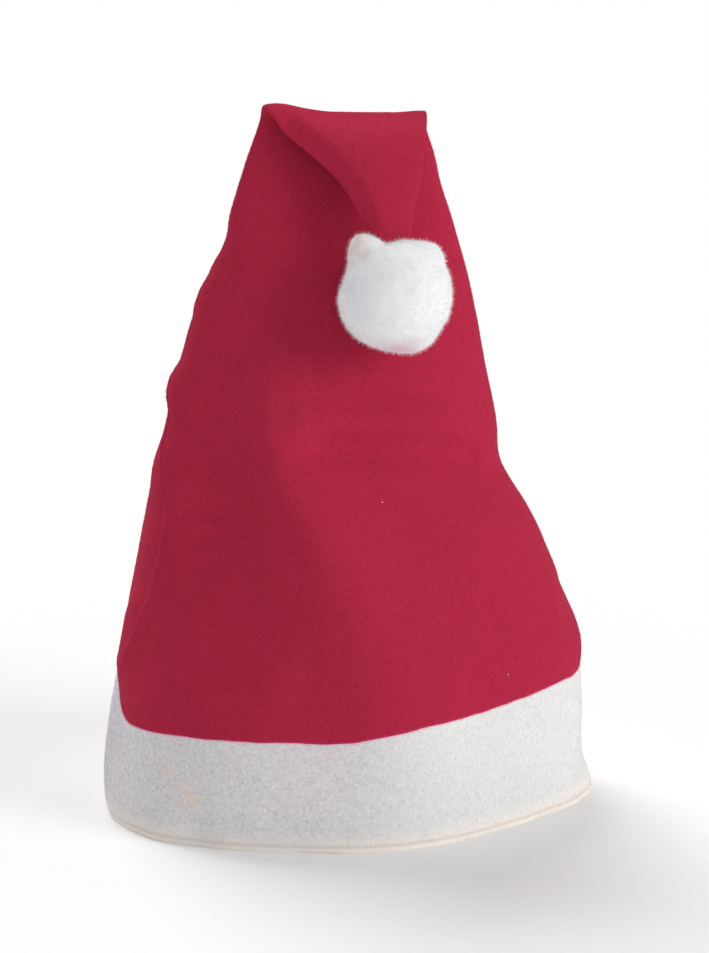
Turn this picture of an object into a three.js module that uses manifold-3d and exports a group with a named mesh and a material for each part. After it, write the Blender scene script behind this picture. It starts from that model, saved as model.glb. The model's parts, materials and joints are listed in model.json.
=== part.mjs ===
import * as THREE from 'three';
import { mergeVertices } from 'three/addons/utils/BufferGeometryUtils.js';
import Module from 'manifold-3d';

// A felt santa hat standing on its open rim, its point folded over to the front.
// Millimetres, +Z up, the sides at -X and +X, the front at -Y, the rim on z = 0.

const headWidth = 196;       // outside of the band from side to side, at the rim
const headDepth = 185;       // outside of the band from front to back, at the rim
const bandHeight = 46;       // white band at the front
const bandWall = 2.2;
const bandTopWidth = 190;    // outside of the band and the crown where they are sewn together
const bandTopDepth = 176;
const foldHeight = 284.5;    // top of the fold above the rim
const foldWidth = 66;        // width of the flattened crown at the fold
const foldThickness = 5.6;   // both panels and the space between them, at the fold
const foldRadius = 4.6;      // bend of the middle of the crown over the fold
const foldTurn = 122;        // degrees from straight up to the start of the flap
const foldSag = 2;           // dip of the fold's middle below its corners
const foldLean = 2.4;        // left corner of the fold above its right corner
const flapThickness = 10.5;  // thickest place of the puffed flap
const feltWall = 1.6;        // one red felt panel
const seamGap = 0.3;         // between two pieces that are sewn edge to edge
const pompomWidth = 49;      // across the tips of the locks
const pompomDrop = 70.5;       // middle of the pompom below the top of the fold
const pompomAside = 8;       // middle of the pompom to the right of the hat's middle
const pompomRest = 0.5;      // between the pompom and the crown that it lies against
const pompomTurn = 163;      // degrees from straight up to the tip where it enters the pompom
const tipSeat = 0.4;         // share of the pompom's radius between the tip's end and its middle
const lockCount = 32;
const lockWidth = 13;
const pompomCore = 0.87;     // share of the pompom's radius that the ball under the locks takes
const plainLock = 0.97;      // share of the pompom's radius that most locks reach
const panelSegments = 26;    // faces across one felt panel, seam to seam
const bodyRings = 20;
const foldRings = 7;
const flapRings = 11;

// Distance of a point from the hat's axis and height of the band, round the rim.
// around: degrees from the right side, 270 is the front; rim, middle and top: shares of the plain
// ellipse at that height; height: share of bandHeight
const bandPlan = [
  { around: 0, rim: 1.035, middle: 1.022, top: 1.03, height: 1.10 },
  { around: 30, rim: 1.01, middle: 1.005, top: 1.0, height: 1.08 },
  { around: 90, rim: 1.0, middle: 1.005, top: 1.0, height: 1.03 },
  { around: 150, rim: 1.0, middle: 1.005, top: 0.985, height: 1.06 },
  { around: 182, rim: 1.02, middle: 1.032, top: 0.98, height: 1.06 },
  { around: 197, rim: 1.03, middle: 1.035, top: 1.005, height: 0.92 },
  { around: 212, rim: 1.04, middle: 1.045, top: 1.04, height: 0.90 },
  { around: 226, rim: 1.035, middle: 1.045, top: 1.04, height: 0.935 },
  { around: 245, rim: 0.975, middle: 0.998, top: 1.0, height: 0.946 },
  { around: 270, rim: 0.965, middle: 0.985, top: 1.0, height: 0.996 },
  { around: 285, rim: 0.937, middle: 0.955, top: 0.957, height: 1.065 },
  { around: 300, rim: 0.91, middle: 0.925, top: 0.925, height: 1.12 },
  { around: 320, rim: 0.925, middle: 0.93, top: 0.94, height: 1.155 },
  { around: 342, rim: 1.02, middle: 1.0, top: 1.0, height: 1.13 },
];

// The crown's section from the band up to the fold.
// along: share of the rise; left, right, front and back: 1 at the rim's half width and half depth,
// 0 at the fold's; turn: degrees that the side seams are turned towards the front on the left
const bodySections = [
  { along: 0.07, left: 0.928, right: 0.975, front: 0.905, back: 0.905, turn: 11 },
  { along: 0.149, left: 0.882, right: 0.888, front: 0.827, back: 0.827, turn: 11 },
  { along: 0.227, left: 0.82, right: 0.775, front: 0.738, back: 0.74, turn: 11 },
  { along: 0.289, left: 0.782, right: 0.66, front: 0.655, back: 0.665, turn: 10 },
  { along: 0.341, left: 0.746, right: 0.554, front: 0.599, back: 0.61, turn: 8 },
  { along: 0.393, left: 0.712, right: 0.472, front: 0.543, back: 0.56, turn: 4 },
  { along: 0.455, left: 0.646, right: 0.462, front: 0.493, back: 0.505, turn: 1 },
  { along: 0.551, left: 0.564, right: 0.38, front: 0.409, back: 0.42, turn: 0 },
  { along: 0.66, left: 0.462, right: 0.31, front: 0.32, back: 0.325, turn: 0 },
  { along: 0.72, left: 0.38, right: 0.265, front: 0.268, back: 0.27, turn: 0 },
  { along: 0.774, left: 0.285, right: 0.215, front: 0.22, back: 0.22, turn: 0 },
  { along: 0.879, left: 0.176, right: 0.097, front: 0.12, back: 0.12, turn: 0 },
  { along: 0.944, left: 0.1, right: 0.049, front: 0.058, back: 0.058, turn: 0 },
  { along: 1, left: 0.02, right: -0.015, front: 0.006, back: 0.006, turn: 0 },
];

// The flap from the fold to the tip, which ends inside the pompom.
// along: share of the flap; left and right: shares of half the fold's width; thick: share of the
// way from the fold's thickness to the flap's; aside: share of pompomAside
const flapSections = [
  { along: 0, left: 1.02, right: 0.96, thick: 0.05, aside: 0 },
  { along: 0.15, left: 0.8, right: 0.86, thick: 0.5, aside: 0.06 },
  { along: 0.3, left: 0.55, right: 0.74, thick: 0.85, aside: 0.2 },
  { along: 0.45, left: 0.37, right: 0.6, thick: 1, aside: 0.42 },
  { along: 0.6, left: 0.29, right: 0.44, thick: 0.8, aside: 0.68 },
  { along: 0.75, left: 0.25, right: 0.3, thick: 0.45, aside: 0.9 },
  { along: 1, left: 0.2, right: 0.2, thick: 0.1, aside: 1 },
];

// Creases and swells of the crown, each along a line between two places on it.
// along and around as above; reach: share of headWidth to either side of the line;
// out: share of headWidth that the felt stands out, or in where it is negative
const folds = [
  { fromAlong: 0.55, fromAround: 228, toAlong: 0.34, toAround: 254, reach: 0.07, out: 0.014 },
  { fromAlong: 0.34, fromAround: 254, toAlong: 0.02, toAround: 272, reach: 0.07, out: 0.012 },
  { fromAlong: 0.38, fromAround: 212, toAlong: 0.14, toAround: 232, reach: 0.12, out: -0.02 },
  { fromAlong: 0.4, fromAround: 352, toAlong: 0.415, toAround: 300, reach: 0.03, out: -0.016 },
  { fromAlong: 0.415, fromAround: 300, toAlong: 0.42, toAround: 256, reach: 0.03, out: -0.007 },
  { fromAlong: 0.31, fromAround: 345, toAlong: 0.31, toAround: 300, reach: 0.07, out: 0.016 },
  { fromAlong: 0.53, fromAround: 176, toAlong: 0.54, toAround: 205, reach: 0.03, out: 0.011 },
  { fromAlong: 0.42, fromAround: 176, toAlong: 0.4, toAround: 205, reach: 0.035, out: 0.01 },
  { fromAlong: 0.36, fromAround: 40, toAlong: 0.42, toAround: 120, reach: 0.05, out: -0.012 },
];

// The pompom's outline: directions in which its locks are longer or shorter.
// up: degrees above level; around: as above; reach: degrees; out: share of its radius
const pompomOutline = [
  { up: 50, around: 182, reach: 28, out: 0.17 },
  { up: 52, around: 340, reach: 28, out: 0.1 },
  { up: 88, around: 270, reach: 26, out: -0.1 },
  { up: 0, around: 175, reach: 24, out: -0.08 },
  { up: -45, around: 200, reach: 26, out: -0.03 },
];

const wasm = await Module();
wasm.setup();

const radians = THREE.MathUtils.degToRad;

// Smooth value of one column of a table between its rows
function sample(table, key, at, column, period = 0) {
  const count = table.length;
  const row = (i) => {
    const wrapped = period ? ((i % count) + count) % count : Math.min(Math.max(i, 0), count - 1);
    const shift = period ? Math.floor(i / count) * period : 0;
    return { at: table[wrapped][key] + shift, value: table[wrapped][column] };
  };
  const place = period ? ((at % period) + period) % period : at;
  let low = period ? -1 : 0;
  while (low < count - (period ? 1 : 2) && row(low + 1).at <= place) {
    low += 1;
  }
  const [before, start, end, after] = [row(low - 1), row(low), row(low + 1), row(low + 2)];
  const span = end.at - start.at;
  const share = Math.min(Math.max((place - start.at) / span, 0), 1);
  const slopeStart = (end.value - before.value) / Math.max(end.at - before.at, 1e-9);
  const slopeEnd = (after.value - start.value) / Math.max(after.at - start.at, 1e-9);
  const s2 = share * share;
  const s3 = s2 * share;
  return (2 * s3 - 3 * s2 + 1) * start.value + (s3 - 2 * s2 + share) * span * slopeStart
    + (3 * s2 - 2 * s3) * end.value + (s3 - s2) * span * slopeEnd;
}

const fade = (value, from, to) => THREE.MathUtils.smoothstep(value, from, to);
const mix = THREE.MathUtils.lerp;

const foldStart = foldHeight - foldThickness / 2 - foldRadius;
const crownRise = foldStart - bandHeight;

// Height of the seam between band and crown at a place round the hat
function bandTop(around) {
  return bandHeight * sample(bandPlan, 'around', around, 'height', 360);
}

// The full table of body sections starts at the seam with the band
const crownSections = [
  {
    along: 0,
    left: (bandTopWidth - foldWidth) / (headWidth - foldWidth),
    right: (bandTopWidth - foldWidth) / (headWidth - foldWidth),
    front: (bandTopDepth - foldThickness) / (headDepth - foldThickness),
    back: (bandTopDepth - foldThickness) / (headDepth - foldThickness),
    turn: bodySections[0].turn,
  },
  ...bodySections,
];

// Half width or half depth of the crown on one side
function bodyReach(along, side) {
  const across = side === 'left' || side === 'right';
  const rim = (across ? headWidth : headDepth) / 2;
  const fold = (across ? foldWidth : foldThickness) / 2;
  return mix(fold, rim, sample(crownSections, 'along', along, side));
}

// How far the folds move the felt outwards
function foldOut(along, around) {
  const arc = (headWidth + foldWidth) / 4;
  let out = 0;
  for (const fold of folds) {
    const start = new THREE.Vector2(fold.fromAlong * crownRise, radians(fold.fromAround) * arc);
    const line = new THREE.Vector2(fold.toAlong * crownRise, radians(fold.toAround) * arc).sub(start);
    const place = new THREE.Vector2(along * crownRise, radians(around) * arc).sub(start);
    const share = Math.min(Math.max(place.dot(line) / line.lengthSq(), 0), 1);
    const away = place.sub(line.multiplyScalar(share)).length() / (fold.reach * headWidth);
    out += fold.out * headWidth * Math.exp(-away * away);
  }
  return out * fade(along, 0, 0.04);
}

// The pompom lies against the front of the crown, below the fold
const pompomRadius = pompomWidth / 2;
const pompomHeight = foldHeight - pompomDrop;

function pompomForward() {
  const steps = 24;
  let forward = 0;
  for (let i = 0; i <= steps; i += 1) {
    const up = mix(-pompomRadius, pompomRadius, i / steps);
    const along = (pompomHeight + up - bandHeight) / crownRise;
    const crown = bodyReach(Math.min(along, 1), 'front');
    forward = Math.max(forward, crown + Math.sqrt(pompomRadius ** 2 - up ** 2));
  }
  return forward + pompomRest;
}

const pompomMiddle = new THREE.Vector3(pompomAside, -pompomForward(), pompomHeight);

// Direction of the crown's middle line after a turn from straight up towards the front
const heading = (turn) => new THREE.Vector3(0, -Math.sin(radians(turn)), Math.cos(radians(turn)));

function foldPoint(turn) {
  const bend = radians(turn);
  return new THREE.Vector3(0, foldRadius * (Math.cos(bend) - 1), foldStart + foldRadius * Math.sin(bend));
}

// Middle line of the flap, from the fold into the pompom
const flapStart = foldPoint(foldTurn);
const flapEnd = pompomMiddle.clone().setX(0).addScaledVector(heading(pompomTurn), -tipSeat * pompomRadius);
const flapReach = flapStart.distanceTo(flapEnd);
const flapLine = new THREE.CubicBezierCurve3(
  flapStart,
  flapStart.clone().addScaledVector(heading(foldTurn), flapReach * 0.4),
  flapEnd.clone().addScaledVector(heading(pompomTurn), -flapReach * 0.38),
  flapEnd,
);

// One station of the crown: its middle, its turn from straight up and its half sizes
function bodyStation(along) {
  const sides = ['left', 'right', 'front', 'back'].map((side) => [side, bodyReach(along, side)]);
  return {
    along,
    flap: 0,
    middle: new THREE.Vector3(0, 0, bandHeight + along * crownRise),
    turn: 0,
    seamTurn: sample(crownSections, 'along', along, 'turn'),
    ...Object.fromEntries(sides),
  };
}

function flapStation(flap) {
  const tangent = flapLine.getTangent(flap);
  const column = (name) => sample(flapSections, 'along', flap, name);
  const thick = mix(foldThickness, flapThickness, column('thick')) / 2;
  return {
    along: 1,
    flap,
    middle: flapLine.getPoint(flap).setX(pompomAside * column('aside')),
    turn: THREE.MathUtils.radToDeg(Math.atan2(-tangent.y, tangent.z)),
    seamTurn: 0,
    left: column('left') * foldWidth / 2,
    right: column('right') * foldWidth / 2,
    front: thick,
    back: thick,
  };
}

// The fold takes its section from the body's top and hands it over to the flap's start
function foldStation(share) {
  const below = bodyStation(1);
  const above = flapStation(0);
  const turn = share * foldTurn;
  const station = { along: 1, flap: 0, middle: foldPoint(turn), turn, seamTurn: 0 };
  for (const side of ['left', 'right', 'front', 'back']) {
    station[side] = mix(below[side], above[side], share);
  }
  return station;
}

function crownStations() {
  const stations = [];
  for (let i = 0; i < bodyRings; i += 1) {
    stations.push(bodyStation(i / bodyRings));
  }
  for (let i = 0; i < foldRings; i += 1) {
    stations.push(foldStation(i / foldRings));
  }
  for (let i = 0; i <= flapRings; i += 1) {
    stations.push(flapStation(i / flapRings));
  }
  return stations;
}

// A point of the crown's outer face, or of its inner face when inset is the wall
function crownPoint(station, around, inset) {
  const angle = radians(around);
  const [cos, sin] = [Math.cos(angle), Math.sin(angle)];
  const width = cos < 0 ? station.left : station.right;
  const depth = sin < 0 ? station.front : station.back;
  const across = new THREE.Vector3(1, 0, 0);
  const back = heading(station.turn - 90);
  const point = station.middle.clone()
    .addScaledVector(across, cos * (width - inset))
    .addScaledVector(back, sin * (depth - inset));
  if (station.flap > 0 || station.turn > 0) {
    return sagged(point, station);
  }
  const place = THREE.MathUtils.radToDeg(Math.atan2(sin * depth, cos * width));
  const nearBand = 1 - fade(station.along, 0, 0.3);
  const bulge = (sample(bandPlan, 'around', place, 'top', 360) - 1) * nearBand;
  const fullAround = ((around % 360) + 360) % 360;
  const outward = new THREE.Vector2(cos * depth, sin * width).normalize();
  const out = foldOut(station.along, fullAround);
  point.x += cos * width * bulge + outward.x * out;
  point.y += sin * depth * bulge + outward.y * out;
  point.z += (bandTop(place) - bandHeight) * (1 - fade(station.along, 0, 0.24));
  return sagged(point, station);
}

// The middle of the fold dips below its corners, and its left corner is the higher one
function sagged(point, station) {
  const near = station.flap > 0 ? 1 - fade(station.flap, 0, 0.3) : fade(station.along, 0.9, 1);
  const aside = Math.min(Math.abs(point.x) / (foldWidth / 2), 1);
  point.z -= foldSag * near * (1 - aside * aside);
  point.z -= foldLean * near * point.x / foldWidth;
  return point;
}

// Row of points across one panel, its two edges drawn back from the seams by half the gap
function panelRow(station, firstSeam, inset) {
  const row = [];
  const nudge = 0.5;
  for (let i = 0; i <= panelSegments; i += 1) {
    const around = firstSeam + station.seamTurn + 180 * i / panelSegments;
    const point = crownPoint(station, around, inset);
    if (i === 0 || i === panelSegments) {
      const inside = i === 0 ? nudge : -nudge;
      const tangent = crownPoint(station, around + inside, inset).sub(point).normalize();
      point.addScaledVector(tangent, seamGap / 2);
    }
    row.push(point);
  }
  return row;
}

// Closed solid between an outer and an inner grid of points
function shell(outer, inner) {
  const positions = [];
  const rows = outer.length;
  const columns = outer[0].length;
  const put = (...corners) => corners.forEach((corner) => positions.push(corner.x, corner.y, corner.z));
  const quad = (a, b, c, d) => {
    put(a, b, c);
    put(a, c, d);
  };
  for (let r = 0; r < rows - 1; r += 1) {
    for (let c = 0; c < columns - 1; c += 1) {
      quad(outer[r][c], outer[r][c + 1], outer[r + 1][c + 1], outer[r + 1][c]);
      quad(inner[r][c], inner[r + 1][c], inner[r + 1][c + 1], inner[r][c + 1]);
    }
    quad(inner[r][0], outer[r][0], outer[r + 1][0], inner[r + 1][0]);
    quad(outer[r][columns - 1], inner[r][columns - 1], inner[r + 1][columns - 1], outer[r + 1][columns - 1]);
  }
  for (let c = 0; c < columns - 1; c += 1) {
    const last = rows - 1;
    quad(inner[0][c], inner[0][c + 1], outer[0][c + 1], outer[0][c]);
    quad(outer[last][c], outer[last][c + 1], inner[last][c + 1], inner[last][c]);
  }
  return surface(positions);
}

function surface(positions) {
  const geometry = new THREE.BufferGeometry();
  geometry.setAttribute('position', new THREE.Float32BufferAttribute(positions, 3));
  const merged = mergeVertices(geometry, 1e-4);
  merged.computeVertexNormals();
  return merged;
}

// One felt panel, from the band over the fold to the tip; firstSeam is the seam that it starts at
function crownPanel(firstSeam) {
  const stations = crownStations();
  const outer = stations.map((station) => panelRow(station, firstSeam, 0));
  const inner = stations.map((station) => panelRow(station, firstSeam, feltWall));
  return shell(outer, inner);
}

// Heights of the band's rings, as shares of its height
const bandRings = [0, 0.14, 0.42, 0.74, 1];

// Direction of one of the crown's lower corners, counted round the hat from the right-hand seam
function cornerAround(index) {
  const angle = radians(bodySections[0].turn + 180 * index / panelSegments);
  const place = Math.atan2(Math.sin(angle) * bandTopDepth, Math.cos(angle) * bandTopWidth);
  return THREE.MathUtils.radToDeg(place);
}

// A point of the band; inset is 0 on the outside
function bandPoint(around, up, inset) {
  const angle = radians(around);
  const column = (name) => sample(bandPlan, 'around', around, name, 360);
  const width = mix(headWidth, bandTopWidth, up) / 2;
  const depth = mix(headDepth, bandTopDepth, up) / 2;
  const ellipse = 1 / Math.hypot(Math.cos(angle) / width, Math.sin(angle) / depth);
  const swell = (1 - up) * (1 - 2 * up) * column('rim') + 4 * up * (1 - up) * column('middle')
    + up * (2 * up - 1) * column('top');
  const radius = ellipse * swell - inset;
  const height = up * (bandTop(around) - seamGap);
  return new THREE.Vector3(Math.cos(angle) * radius, Math.sin(angle) * radius, height);
}

// The band is one closed ring of felt, its corners in line with the crown's
function brimBand() {
  const positions = [];
  const count = panelSegments * 2;
  const loop = [
    ...bandRings.map((up) => ({ up, inset: 0 })),
    ...bandRings.map((up) => ({ up, inset: bandWall })).reverse(),
  ];
  const corner = (i, k) => {
    const { up, inset } = loop[k % loop.length];
    const point = bandPoint(cornerAround(i % count), up, inset);
    return [point.x, point.y, point.z];
  };
  for (let i = 0; i < count; i += 1) {
    for (let k = 0; k < loop.length; k += 1) {
      const [a, b, c, d] = [corner(i, k), corner(i + 1, k), corner(i + 1, k + 1), corner(i, k + 1)];
      positions.push(...a, ...b, ...c, ...a, ...c, ...d);
    }
  }
  return surface(positions);
}

// A closed geometry as a solid that can be joined and cut
function toSolid(geometry) {
  const bare = geometry.index ? geometry.toNonIndexed() : geometry.clone();
  bare.deleteAttribute('normal');
  bare.deleteAttribute('uv');
  const merged = mergeVertices(bare, 1e-4);
  const mesh = new wasm.Mesh({
    numProp: 3,
    vertProperties: new Float32Array(merged.attributes.position.array),
    triVerts: new Uint32Array(merged.index.array),
  });
  return new wasm.Manifold(mesh);
}

function fromSolid(solid) {
  const mesh = solid.getMesh();
  const geometry = new THREE.BufferGeometry();
  geometry.setAttribute('position', new THREE.Float32BufferAttribute(mesh.vertProperties, 3));
  geometry.setIndex([...mesh.triVerts]);
  geometry.computeVertexNormals();
  return geometry;
}

// Length of the pompom's locks in one direction, as a share of its radius
function lockReach(direction) {
  let reach = plainLock;
  for (const row of pompomOutline) {
    const up = radians(row.up);
    const level = new THREE.Vector3(Math.cos(radians(row.around)), Math.sin(radians(row.around)), 0);
    const toward = level.multiplyScalar(Math.cos(up)).setZ(Math.sin(up));
    const away = THREE.MathUtils.radToDeg(direction.angleTo(toward)) / row.reach;
    reach += row.out * Math.exp(-away * away);
  }
  return reach;
}

// The room for the tip inside the pompom
function tipPocket() {
  const first = 0.5;
  const steps = 4;
  const positions = [];
  const count = 14;
  const rings = [];
  for (let r = 0; r <= steps; r += 1) {
    const station = flapStation(mix(first, 1, r / steps));
    if (r === steps) {
      station.middle.addScaledVector(heading(station.turn), seamGap);
    }
    rings.push(Array.from({ length: count }, (_, i) => crownPoint(station, 360 * i / count, -seamGap)));
  }
  const put = (...corners) => corners.forEach((corner) => positions.push(corner.x, corner.y, corner.z));
  for (let i = 0; i < count; i += 1) {
    const next = (i + 1) % count;
    for (let r = 0; r < steps; r += 1) {
      put(rings[r][i], rings[r][next], rings[r + 1][next]);
      put(rings[r][i], rings[r + 1][next], rings[r + 1][i]);
    }
    if (i > 0 && i < count - 1) {
      put(rings[0][0], rings[0][i + 1], rings[0][i]);
      put(rings[steps][0], rings[steps][i], rings[steps][i + 1]);
    }
  }
  return surface(positions);
}

// A blunt lock that starts inside the ball and ends at its length from the ball's middle
function lockProfile(length) {
  return [[0, 0.5], [0.5, 0.5], [0.5, 0.84], [0.3, 0.965], [0, 1]]
    .map(([wide, up]) => new THREE.Vector2(wide * lockWidth, up * length));
}

// Plush pompom: short locks all round a ball, with the room for the tip cut out
function pompom() {
  const coreRadius = pompomRadius * pompomCore;
  let solid = toSolid(new THREE.IcosahedronGeometry(coreRadius, 2));
  const golden = Math.PI * (3 - Math.sqrt(5));
  for (let i = 0; i < lockCount; i += 1) {
    const up = 1 - 2 * (i + 0.5) / lockCount;
    const level = Math.sqrt(1 - up * up);
    const direction = new THREE.Vector3(Math.cos(golden * i) * level, Math.sin(golden * i) * level, up);
    const length = pompomRadius * lockReach(direction);
    const lock = new THREE.LatheGeometry(lockProfile(length), 5);
    lock.applyQuaternion(new THREE.Quaternion().setFromUnitVectors(new THREE.Vector3(0, 1, 0), direction));
    solid = solid.add(toSolid(lock));
  }
  const room = tipPocket().translate(-pompomMiddle.x, -pompomMiddle.y, -pompomMiddle.z);
  return fromSolid(solid.subtract(toSolid(room)));
}

const redFelt = { color: 0xb02a48, roughness: 0.95, metalness: 0 };
const whiteFelt = { color: 0xe6e4e4, roughness: 0.95, metalness: 0 };
const plush = { color: 0xeceeef, roughness: 1, metalness: 0 };

function piece(name, geometry, look) {
  const mesh = new THREE.Mesh(geometry, new THREE.MeshStandardMaterial(look));
  mesh.name = name;
  return mesh;
}

const hat = new THREE.Group();
hat.add(piece('crown_front', crownPanel(180), redFelt));
hat.add(piece('crown_back', crownPanel(0), redFelt));
hat.add(piece('brim_band', brimBand(), whiteFelt));
const ball = piece('pompom', pompom(), plush);
ball.position.copy(pompomMiddle);
hat.add(ball);

// The origin is under the middle of the hat's outer box
const box = new THREE.Box3().setFromObject(hat);
hat.position.set(-(box.min.x + box.max.x) / 2, -(box.min.y + box.max.y) / 2, -box.min.z);

export default hat;
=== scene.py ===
import json
import math

import bpy
from mathutils import Euler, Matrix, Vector, noise

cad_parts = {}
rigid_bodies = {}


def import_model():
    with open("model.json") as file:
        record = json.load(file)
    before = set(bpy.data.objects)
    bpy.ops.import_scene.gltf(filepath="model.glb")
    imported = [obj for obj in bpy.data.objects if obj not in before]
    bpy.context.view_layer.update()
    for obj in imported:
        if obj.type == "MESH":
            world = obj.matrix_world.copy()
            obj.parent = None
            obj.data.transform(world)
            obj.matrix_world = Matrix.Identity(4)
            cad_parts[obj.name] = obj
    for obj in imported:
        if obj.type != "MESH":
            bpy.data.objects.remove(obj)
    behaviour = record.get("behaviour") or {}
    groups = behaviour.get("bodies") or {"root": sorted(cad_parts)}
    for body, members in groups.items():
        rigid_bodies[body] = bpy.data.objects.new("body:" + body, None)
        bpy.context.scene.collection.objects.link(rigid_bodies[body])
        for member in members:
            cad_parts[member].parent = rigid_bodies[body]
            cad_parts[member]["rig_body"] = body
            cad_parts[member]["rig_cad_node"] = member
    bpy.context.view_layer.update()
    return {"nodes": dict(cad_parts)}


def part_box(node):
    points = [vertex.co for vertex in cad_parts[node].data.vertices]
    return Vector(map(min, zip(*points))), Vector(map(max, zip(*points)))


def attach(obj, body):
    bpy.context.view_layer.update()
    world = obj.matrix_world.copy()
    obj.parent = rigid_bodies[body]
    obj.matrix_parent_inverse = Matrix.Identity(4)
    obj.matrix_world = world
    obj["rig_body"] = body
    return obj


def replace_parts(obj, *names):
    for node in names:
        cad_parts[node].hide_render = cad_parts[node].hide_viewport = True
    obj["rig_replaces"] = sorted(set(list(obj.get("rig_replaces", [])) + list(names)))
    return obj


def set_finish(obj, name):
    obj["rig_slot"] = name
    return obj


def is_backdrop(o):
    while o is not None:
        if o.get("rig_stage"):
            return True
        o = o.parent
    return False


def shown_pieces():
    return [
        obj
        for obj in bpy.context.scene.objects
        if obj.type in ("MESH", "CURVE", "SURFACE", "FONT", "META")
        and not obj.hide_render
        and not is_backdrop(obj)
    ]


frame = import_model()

mm = 0.001


def say(text):
    print("santa hat:", text)


# everyday helpers

def selectOnly(*objects):
    bpy.ops.object.select_all(action="DESELECT")
    for item in objects:
        item.select_set(True)
    bpy.context.view_layer.objects.active = objects[-1]


def applyModifier(piece, kind, settings):
    modifier = piece.modifiers.new(kind.lower(), kind)
    for name, value in settings.items():
        setattr(modifier, name, value)
    selectOnly(piece)
    bpy.ops.object.modifier_apply(modifier=modifier.name)


def copyNodes(nodeNames, pieceName, look):
    # a welded copy of CAD nodes, joined, and in quads where it can be
    selectOnly(*[frame["nodes"][name] for name in nodeNames])
    bpy.ops.object.duplicate()
    bpy.ops.object.parent_clear(type="CLEAR_KEEP_TRANSFORM")
    bpy.ops.object.join()
    copy = bpy.context.object
    copy.name = pieceName
    copy.data.name = pieceName
    copy.data.materials.clear()
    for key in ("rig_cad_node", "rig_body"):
        del copy[key]
    bpy.ops.mesh.customdata_custom_splitnormals_clear()
    quadAngle = math.radians(look["quadAngle"])
    bpy.ops.object.mode_set(mode="EDIT")
    bpy.ops.mesh.select_all(action="SELECT")
    bpy.ops.mesh.remove_doubles(threshold=look["weld"] * mm)
    bpy.ops.mesh.tris_convert_to_quads(face_threshold=quadAngle, shape_threshold=quadAngle)
    bpy.ops.mesh.select_all(action="DESELECT")
    bpy.ops.object.mode_set(mode="OBJECT")
    return copy


def creaseSharpEdges(piece, look):
    selectOnly(piece)
    bpy.ops.object.mode_set(mode="EDIT")
    bpy.ops.mesh.select_mode(type="EDGE")
    bpy.ops.mesh.select_all(action="DESELECT")
    bpy.ops.mesh.edges_select_sharp(sharpness=math.radians(look["sharpFrom"]))
    bpy.ops.transform.edge_crease(value=1)
    bpy.ops.mesh.select_all(action="DESELECT")
    bpy.ops.object.mode_set(mode="OBJECT")
    points = piece.data.vertices
    rim = look["rimBelow"] * mm
    low = [all(points[end].co.z < rim for end in edge.vertices) for edge in piece.data.edges]
    piece.data.edges.foreach_set("select", low)
    bpy.ops.object.mode_set(mode="EDIT")
    bpy.ops.transform.edge_crease(value=look["rimCrease"] - 1)   # the rim's edges are softer
    bpy.ops.mesh.select_all(action="DESELECT")
    bpy.ops.mesh.select_mode(type="VERT")
    bpy.ops.object.mode_set(mode="OBJECT")


def fall(far, reach, sharp=False):
    # 1 at a distance of 0, falling to 0 at reach
    share = max(0.0, 1 - far / reach)
    return share if sharp else share * share * (3 - 2 * share)


def nearestOnPath(place, path):
    best = path[0]
    for start, end in zip(path, path[1:]):
        along = end - start
        share = max(0.0, min(1.0, (place - start).dot(along) / along.length_squared))
        point = start + along * share
        if (point - place).length < (best - place).length:
            best = point
    return best


def nearPath(piece, path, reach):
    # the points of the mesh within reach of a line through places in mm, each with its nearest place
    places = [Vector(place) * mm for place in path]
    low = [min(place[axis] for place in places) - reach for axis in range(3)]
    high = [max(place[axis] for place in places) + reach for axis in range(3)]
    for vertex in piece.data.vertices:
        spot = vertex.co
        if all(low[axis] < spot[axis] < high[axis] for axis in range(3)):
            yield vertex, nearestOnPath(spot, places)


def pullFelt(piece, path, pull, core, reach, sharp=False):
    # moves a line of felt by pull, and what lies within reach of its core follows
    for vertex, near in nearPath(piece, path, (core + reach) * mm):
        far = max(0.0, (vertex.co - near).length / mm - core)
        vertex.co += Vector(pull) * mm * fall(far, reach, sharp)


def valueAt(rows, key, place, column):
    # smooth value of one column of a table between its rows
    if place <= rows[0][key]:
        return rows[0][column]
    if place >= rows[-1][key]:
        return rows[-1][column]
    number = max(i for i, row in enumerate(rows) if row[key] <= place)
    before, start, end, after = (rows[min(max(number + k, 0), len(rows) - 1)] for k in (-1, 0, 1, 2))
    span = end[key] - start[key]
    share = (place - start[key]) / span
    slopeIn = (end[column] - before[column]) / (end[key] - before[key])
    slopeOut = (after[column] - start[column]) / (after[key] - start[key])
    first = (1 + 2 * share) * (1 - share) ** 2 * start[column] + share**2 * (3 - 2 * share) * end[column]
    return first + span * share * (1 - share) * ((1 - share) * slopeIn - share * slopeOut)


def finishPiece(piece, slotName, material, nodeNames=()):
    selectOnly(piece)
    bpy.ops.object.transform_apply(location=True, rotation=True, scale=True)
    piece.data.materials.clear()
    piece.data.materials.append(material)
    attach(piece, "root")
    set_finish(piece, slotName)
    if nodeNames:
        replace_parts(piece, *nodeNames)


# places in metres, angles in degrees, focal length and sensor in mm
view = {
    "target": (-0.0005, -0.0015, 0.145),
    "azimuth": -12,
    "elevation": 11.2,
    "distance": 1.57,
    "lens": 146.1,
    "sensor": 36,
    "shiftX": 0.0089,
    "shiftY": -0.0334,
    "clip": (0.05, 40),
}


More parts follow.
